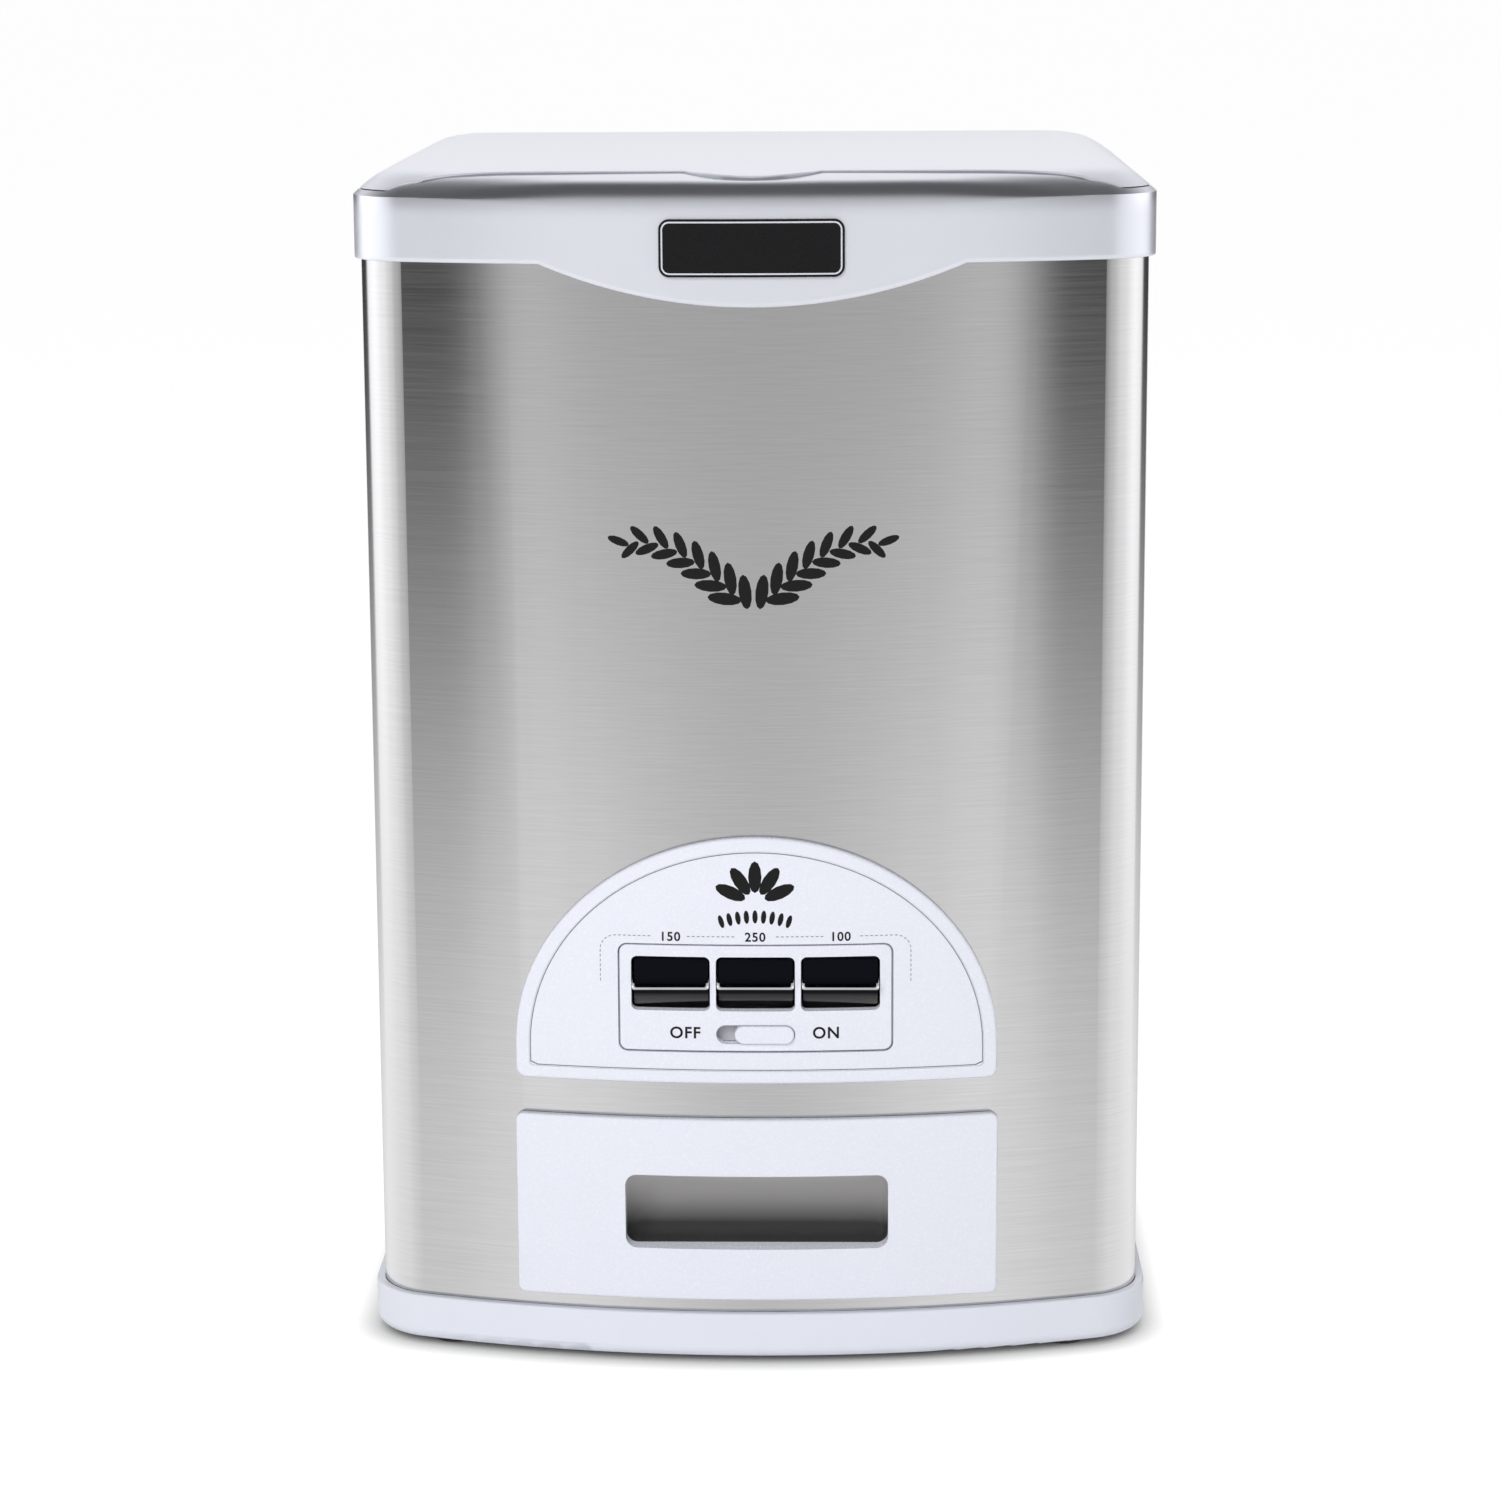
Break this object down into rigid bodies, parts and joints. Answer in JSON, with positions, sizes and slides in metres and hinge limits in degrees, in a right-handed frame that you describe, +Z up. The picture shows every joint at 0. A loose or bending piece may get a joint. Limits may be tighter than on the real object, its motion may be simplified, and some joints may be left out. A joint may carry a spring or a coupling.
{
  "type": "rice dispenser",
  "caption": "Free-standing steel rice dispenser with a hinged filling lid, press keys that drop measured doses, a sliding key lock and a pull-out receiving drawer.",
  "frame": {"origin": "centre of the footprint on the floor", "axes": "+Z up, +X to the right of someone facing the keys, -Y towards that person"},
  "size_m": [0.312, 0.271, 0.4715],
  "materials": {
    "brushed_steel": "horizontal brushing, satin",
    "lid_silver": "pearl silver over plastic, satin gloss",
    "base_plastic": "pale silver grey, satin",
    "panel_plastic": "cool white, semi gloss",
    "inner_plastic": "plain white moulding",
    "tray_plastic": "grey moulding",
    "key_chrome": "mirror plated",
    "fastener_steel": "zinc plated",
    "plate_black": "gloss black",
    "foot_rubber": "matt",
    "seal_rubber": "soft, matt"
  },
  "bodies": {
    "cabinet": {"base_tray": "base_plastic", "feet": "foot_rubber", "steel_wrap": "brushed_steel", "rear_panel": "brushed_steel", "rear_rivets": "fastener_steel", "support_frame": "inner_plastic", "base_screws": "fastener_steel", "dosing_block": "inner_plastic", "block_screws": "fastener_steel", "lever_shaft": "fastener_steel", "shaft_clips": "fastener_steel", "key_spring_150": "fastener_steel", "key_spring_250": "fastener_steel", "key_spring_100": "fastener_steel", "fascia": "lid_silver", "face_sheet": "panel_plastic", "fascia_screws": "fastener_steel", "key_bezel": "panel_plastic", "hopper": "inner_plastic", "hopper_screws": "fastener_steel", "top_collar": "lid_silver", "collar_screws": "fastener_steel", "hinge_pins": "fastener_steel", "name_plate": "plate_black"},
    "lid": {"lid_flap": "lid_silver", "lid_seal": "seal_rubber"},
    "drawer": {"drawer_front": "panel_plastic", "drawer_tray": "tray_plastic", "drawer_screws": "fastener_steel"},
    "key_150": {"dosing_lever_150": "inner_plastic", "key_cap_150": "key_chrome"},
    "key_250": {"dosing_lever_250": "inner_plastic", "key_cap_250": "key_chrome"},
    "key_100": {"dosing_lever_100": "inner_plastic", "key_cap_100": "key_chrome"},
    "lock": {"lock_bar": "inner_plastic", "lock_knob": "panel_plastic"}
  },
  "joints": [
    {"name": "lid_hinge", "type": "hinge", "parent": "cabinet", "child": "lid", "pos_m": [0, 0.1235, 0.4648], "axis": [-1, 0, 0], "range_deg": [0, 95]},
    {"name": "drawer_slide", "type": "slide", "parent": "cabinet", "child": "drawer", "axis": [0, -1, 0], "range_m": [0, 0.165]},
    {"name": "key_press_150", "type": "hinge", "parent": "cabinet", "child": "key_150", "pos_m": [-0.045, -0.092, 0.152], "axis": [1, 0, 0], "range_deg": [0, 11], "stiffness_Nm_per_rad": 0.8, "springref_deg": -5.73, "deforming": ["key_spring_150"]},
    {"name": "key_press_250", "type": "hinge", "parent": "cabinet", "child": "key_250", "pos_m": [0, -0.092, 0.152], "axis": [1, 0, 0], "range_deg": [0, 11], "stiffness_Nm_per_rad": 0.8, "springref_deg": -5.73, "deforming": ["key_spring_250"]},
    {"name": "key_press_100", "type": "hinge", "parent": "cabinet", "child": "key_100", "pos_m": [0.04, -0.092, 0.152], "axis": [1, 0, 0], "range_deg": [0, 11], "stiffness_Nm_per_rad": 0.8, "springref_deg": -5.73, "deforming": ["key_spring_100"]},
    {"name": "lock_slide", "type": "slide", "parent": "cabinet", "child": "lock", "axis": [-1, 0, 0], "range_m": [0, 0.007]}
  ]
}
